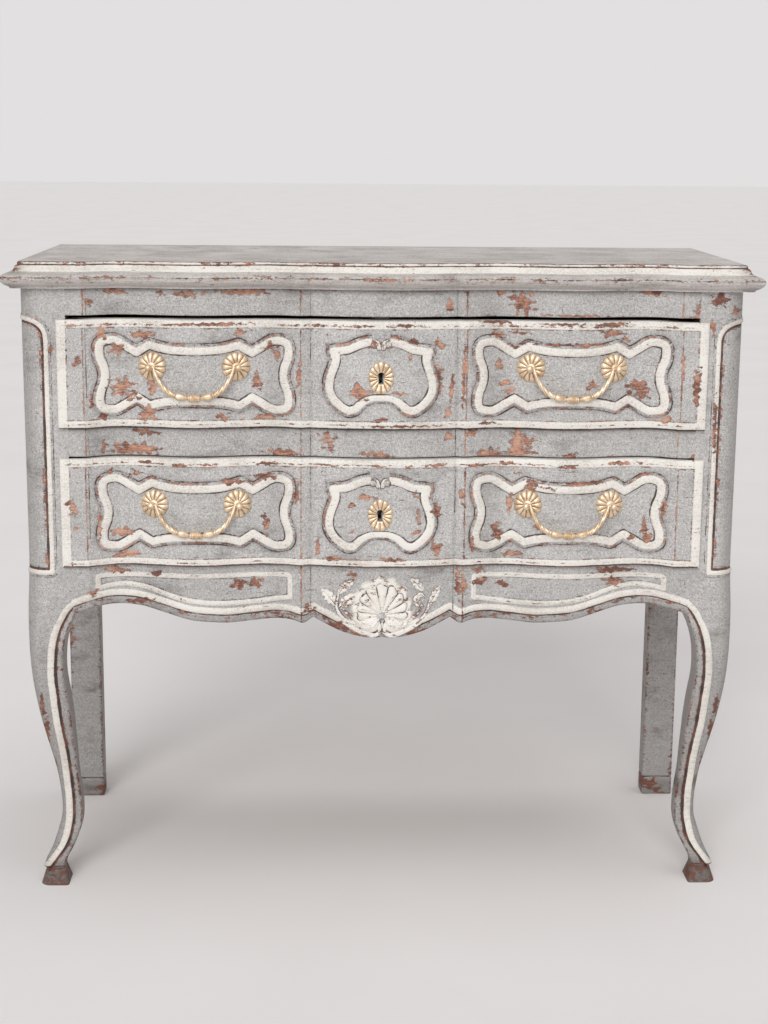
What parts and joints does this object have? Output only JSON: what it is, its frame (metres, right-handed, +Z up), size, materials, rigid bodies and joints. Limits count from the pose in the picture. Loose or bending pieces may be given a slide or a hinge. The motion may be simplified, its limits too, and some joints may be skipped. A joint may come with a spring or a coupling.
{
  "type": "commode chest",
  "caption": "Painted country commode with a serpentine front, lipped drawers, drop handles, keyhole plates, a carved apron, cabriole front legs and straight rear legs.",
  "frame": {"origin": "on the floor under the middle of the chest's bounding box", "axes": "+X to the right as seen from the front, +Y towards the back, +Z up; the drawers open towards -Y"},
  "size_m": [1.015, 0.407, 0.88],
  "materials": {
    "grey_paint": "worn matt grey paint with cream mouldings over a reddish wood",
    "top_paint": "worn satin warm grey paint",
    "bare_wood": "bare planed wood",
    "back_wood": "bare darkened wood",
    "gilded_brass": "matt gilded casting",
    "dark_iron": "dark dull iron"
  },
  "bodies": {
    "case": {"top_board": "top_paint", "frieze_rail": "grey_paint", "middle_rail": "grey_paint", "apron": "grey_paint", "right_front_leg": "grey_paint", "left_front_leg": "grey_paint", "right_rear_leg": "grey_paint", "left_rear_leg": "grey_paint", "right_side_top_rail": "grey_paint", "left_side_top_rail": "grey_paint", "right_side_bottom_rail": "grey_paint", "left_side_bottom_rail": "grey_paint", "right_side_panel": "grey_paint", "left_side_panel": "grey_paint", "back_top_rail": "back_wood", "back_bottom_rail": "back_wood", "back_panel": "back_wood", "right_kicker": "bare_wood", "left_kicker": "bare_wood", "right_upper_runner": "bare_wood", "left_upper_runner": "bare_wood", "right_lower_runner": "bare_wood", "left_lower_runner": "bare_wood"},
    "upper_drawer": {"upper_drawer_front": "grey_paint", "right_upper_drawer_side": "bare_wood", "left_upper_drawer_side": "bare_wood", "upper_drawer_back": "bare_wood", "upper_drawer_bottom": "bare_wood", "upper_escutcheon": "gilded_brass", "upper_lock_case": "dark_iron", "right_upper_inner_rose": "gilded_brass", "left_upper_inner_rose": "gilded_brass", "right_upper_outer_rose": "gilded_brass", "left_upper_outer_rose": "gilded_brass", "right_upper_inner_nut": "dark_iron", "left_upper_inner_nut": "dark_iron", "right_upper_outer_nut": "dark_iron", "left_upper_outer_nut": "dark_iron"},
    "lower_drawer": {"lower_drawer_front": "grey_paint", "right_lower_drawer_side": "bare_wood", "left_lower_drawer_side": "bare_wood", "lower_drawer_back": "bare_wood", "lower_drawer_bottom": "bare_wood", "lower_escutcheon": "gilded_brass", "lower_lock_case": "dark_iron", "right_lower_inner_rose": "gilded_brass", "left_lower_inner_rose": "gilded_brass", "right_lower_outer_rose": "gilded_brass", "left_lower_outer_rose": "gilded_brass", "right_lower_inner_nut": "dark_iron", "left_lower_inner_nut": "dark_iron", "right_lower_outer_nut": "dark_iron", "left_lower_outer_nut": "dark_iron"},
    "right_upper_handle": {"right_upper_bail": "gilded_brass"},
    "left_upper_handle": {"left_upper_bail": "gilded_brass"},
    "right_lower_handle": {"right_lower_bail": "gilded_brass"},
    "left_lower_handle": {"left_lower_bail": "gilded_brass"},
    "upper_bolt": {"upper_lock_bolt": "dark_iron"},
    "lower_bolt": {"lower_lock_bolt": "dark_iron"}
  },
  "joints": [
    {"name": "upper_drawer_slide", "type": "slide", "parent": "case", "child": "upper_drawer", "axis": [0, -1, 0], "range_m": [0, 0.25]},
    {"name": "lower_drawer_slide", "type": "slide", "parent": "case", "child": "lower_drawer", "axis": [0, -1, 0], "range_m": [0, 0.25]},
    {"name": "right_upper_handle_swing", "type": "hinge", "parent": "upper_drawer", "child": "right_upper_handle", "pos_m": [0.25487, -0.1911, 0.741], "axis": [-1, 0, 0], "range_deg": [0, 160]},
    {"name": "left_upper_handle_swing", "type": "hinge", "parent": "upper_drawer", "child": "left_upper_handle", "pos_m": [-0.25487, -0.1911, 0.741], "axis": [-1, 0, 0], "range_deg": [0, 160]},
    {"name": "right_lower_handle_swing", "type": "hinge", "parent": "lower_drawer", "child": "right_lower_handle", "pos_m": [0.25487, -0.1911, 0.553], "axis": [-1, 0, 0], "range_deg": [0, 160]},
    {"name": "left_lower_handle_swing", "type": "hinge", "parent": "lower_drawer", "child": "left_lower_handle", "pos_m": [-0.25487, -0.1911, 0.553], "axis": [-1, 0, 0], "range_deg": [0, 160]},
    {"name": "upper_bolt_throw", "type": "slide", "parent": "upper_drawer", "child": "upper_bolt", "axis": [0, 0, 1], "range_m": [0, 0.008]},
    {"name": "lower_bolt_throw", "type": "slide", "parent": "lower_drawer", "child": "lower_bolt", "axis": [0, 0, 1], "range_m": [0, 0.008]}
  ]
}
